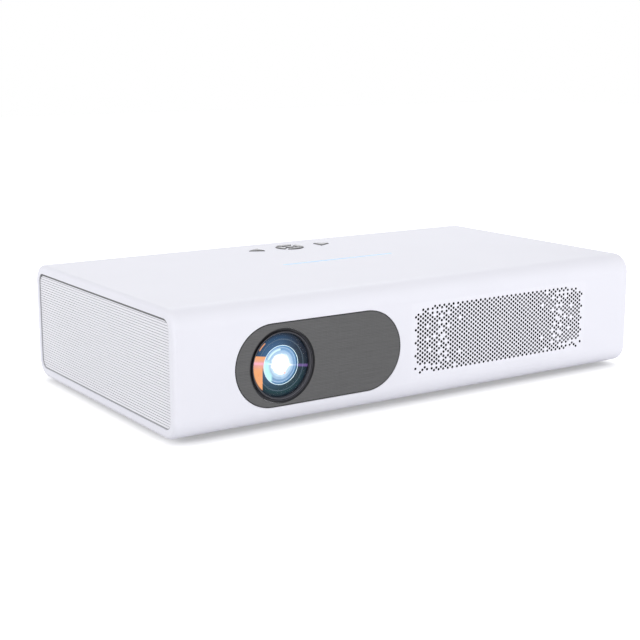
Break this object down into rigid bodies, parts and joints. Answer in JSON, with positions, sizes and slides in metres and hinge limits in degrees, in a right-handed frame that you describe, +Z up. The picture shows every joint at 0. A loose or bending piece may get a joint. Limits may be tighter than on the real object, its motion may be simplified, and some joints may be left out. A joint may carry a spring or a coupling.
{
  "type": "video projector with disc player",
  "caption": "Flat white video projector with a round lens in a grey stadium panel, a perforated front vent, ribbed ends, top keys and a sliding disc tray in its right end.",
  "frame": {"origin": "on the surface that the projector stands on, under the middle of its casing", "axes": "+X along the long front towards the disc tray's end, +Y from the lens side to the rear, +Z up; the lens faces -Y"},
  "size_m": [0.337, 0.187, 0.0751],
  "materials": {
    "white_casing": "satin moulded",
    "white_ribs": "fine moulded ribs",
    "tray_fascia": "moulded",
    "grey_panel": "fine linen texture",
    "black_ring": "fine turned",
    "optical_glass": "polished",
    "light_guide": "frosted",
    "key_metal": "satin",
    "button_grey": "moulded",
    "dark_window": "polished",
    "screw_steel": "plated",
    "brass": "turned",
    "rubber": "matt",
    "foot_metal": "fluted",
    "board_green": "solder mask",
    "motor_can": "plated",
    "engine_black": "moulded",
    "mirror": "silvered",
    "lcd_film": "polished",
    "lamp_copper": "machined",
    "sink_aluminium": "extruded",
    "fan_black": "moulded",
    "socket_shell": "plated",
    "socket_black": "moulded",
    "speaker_black": "pressed",
    "drive_steel": "rolled sheet",
    "tray_black": "moulded",
    "hub_black": "moulded",
    "sled_alloy": "die cast"
  },
  "bodies": {
    "chassis": {"main_shell": "white_casing", "base_plate": "white_casing", "case_screws": "screw_steel", "left_grille": "white_ribs", "right_panel": "white_ribs", "front_vent_grille": "white_casing", "lens_trim": "grey_panel", "lens_bezel": "black_ring", "light_bar": "light_guide", "ir_window": "dark_window", "brass_inserts": "brass", "rear_feet": "rubber", "top_boards": "board_green", "lens_tube": "black_ring", "focus_motor": "motor_can", "engine_housing": "engine_black", "engine_lid": "engine_black", "fold_mirror": "mirror", "field_lenses": "optical_glass", "lcd_panel": "lcd_film", "condenser_lens": "optical_glass", "lamp_module": "lamp_copper", "heat_sink": "sink_aluminium", "exhaust_fan_frame": "fan_black", "intake_fan_frame": "fan_black", "main_board": "board_green", "power_board": "board_green", "hdmi_socket": "socket_shell", "usb_socket": "socket_shell", "audio_jacks": "socket_black", "mains_inlet": "socket_black", "left_speaker": "speaker_black", "right_speaker": "speaker_black", "drive_case": "drive_steel", "drive_cover": "drive_steel", "drive_brackets": "drive_steel"},
    "focus_barrel": {"lens_barrel": "black_ring", "lens_elements": "optical_glass"},
    "focus_drive": {"focus_screw": "screw_steel"},
    "exhaust_rotor": {"exhaust_fan_rotor": "fan_black"},
    "intake_rotor": {"intake_fan_rotor": "fan_black"},
    "tray": {"disc_tray": "tray_black", "tray_front": "tray_fascia", "pickup_deck": "drive_steel", "drive_motors": "motor_can"},
    "runners": {"tray_runners": "drive_steel"},
    "disc_hub": {"turntable": "hub_black"},
    "sled": {"pickup_sled": "sled_alloy"},
    "sled_drive": {"sled_screw": "screw_steel"},
    "eject": {"eject_button": "button_grey"},
    "foot": {"foot_pad": "rubber"},
    "foot_wheel": {"foot_screw": "foot_metal"},
    "left_key_cap": {"left_key": "key_metal"},
    "right_key_cap": {"right_key": "key_metal"},
    "ok_key_cap": {"ok_key": "key_metal"},
    "up_key_cap": {"up_key": "key_metal"},
    "down_key_cap": {"down_key": "key_metal"},
    "previous_key_cap": {"previous_key": "key_metal"},
    "next_key_cap": {"next_key": "key_metal"}
  },
  "joints": [
    {"name": "tray_slide", "type": "slide", "parent": "chassis", "child": "tray", "axis": [1, 0, 0], "range_m": [0, 0.13]},
    {"name": "runner_slide", "type": "slide", "parent": "chassis", "child": "runners", "axis": [1, 0, 0], "range_m": [0, 0.065]},
    {"name": "disc_hub_spin", "type": "hinge", "parent": "tray", "child": "disc_hub", "pos_m": [0.1023, 0.004, 0.0604], "axis": [0, 0, 1], "continuous": true},
    {"name": "sled_slide", "type": "slide", "parent": "tray", "child": "sled", "axis": [0.7071, 0.7071, 0], "range_m": [0, 0.034]},
    {"name": "sled_screw_turn", "type": "hinge", "parent": "tray", "child": "sled_drive", "pos_m": [0.10089, 0.02521, 0.05695], "axis": [0.7071, 0.7071, 0], "range_deg": [0, 4080]},
    {"name": "eject_button_press", "type": "slide", "parent": "tray", "child": "eject", "axis": [-1, 0, 0], "range_m": [0, 0.0006], "stiffness_N_per_m": 300, "springref_m": -0.0005},
    {"name": "focus_slide", "type": "slide", "parent": "chassis", "child": "focus_barrel", "axis": [0, 1, 0], "range_m": [0, 0.006]},
    {"name": "focus_screw_turn", "type": "hinge", "parent": "chassis", "child": "focus_drive", "pos_m": [-0.0747, -0.0785, 0.0364], "axis": [0, 1, 0], "range_deg": [0, 1080]},
    {"name": "exhaust_fan_spin", "type": "hinge", "parent": "chassis", "child": "exhaust_rotor", "pos_m": [0.046, -0.082, 0.0349], "axis": [0, 1, 0], "continuous": true},
    {"name": "intake_fan_spin", "type": "hinge", "parent": "chassis", "child": "intake_rotor", "pos_m": [-0.01, 0.072, 0.0299], "axis": [0, 1, 0], "continuous": true},
    {"name": "foot_slide", "type": "slide", "parent": "chassis", "child": "foot", "axis": [0, 0, -1], "range_m": [0, 0.01]},
    {"name": "foot_turn", "type": "hinge", "parent": "foot", "child": "foot_wheel", "pos_m": [0, -0.068, 0.0016], "axis": [0, 0, 1], "range_deg": [0, 1800]},
    {"name": "left_key_press", "type": "slide", "parent": "chassis", "child": "left_key_cap", "axis": [0, 0, -1], "range_m": [0, 0.0005], "stiffness_N_per_m": 300, "springref_m": -0.0005},
    {"name": "right_key_press", "type": "slide", "parent": "chassis", "child": "right_key_cap", "axis": [0, 0, -1], "range_m": [0, 0.0005], "stiffness_N_per_m": 300, "springref_m": -0.0005},
    {"name": "ok_key_press", "type": "slide", "parent": "chassis", "child": "ok_key_cap", "axis": [0, 0, -1], "range_m": [0, 0.0005], "stiffness_N_per_m": 300, "springref_m": -0.0005},
    {"name": "up_key_press", "type": "slide", "parent": "chassis", "child": "up_key_cap", "axis": [0, 0, -1], "range_m": [0, 0.0005], "stiffness_N_per_m": 300, "springref_m": -0.0005},
    {"name": "down_key_press", "type": "slide", "parent": "chassis", "child": "down_key_cap", "axis": [0, 0, -1], "range_m": [0, 0.0005], "stiffness_N_per_m": 300, "springref_m": -0.0005},
    {"name": "previous_key_press", "type": "slide", "parent": "chassis", "child": "previous_key_cap", "axis": [0, 0, -1], "range_m": [0, 0.0005], "stiffness_N_per_m": 300, "springref_m": -0.0005},
    {"name": "next_key_press", "type": "slide", "parent": "chassis", "child": "next_key_cap", "axis": [0, 0, -1], "range_m": [0, 0.0005], "stiffness_N_per_m": 300, "springref_m": -0.0005}
  ],
  "couplings": [
    {"joint": "runner_slide", "follows": "tray_slide", "ratio": 0.5},
    {"joint": "sled_screw_turn", "follows": "sled_slide", "rad_per_m": 2094.4},
    {"joint": "focus_screw_turn", "follows": "focus_slide", "rad_per_m": 3141.6},
    {"joint": "foot_turn", "follows": "foot_slide", "rad_per_m": 3141.6}
  ]
}
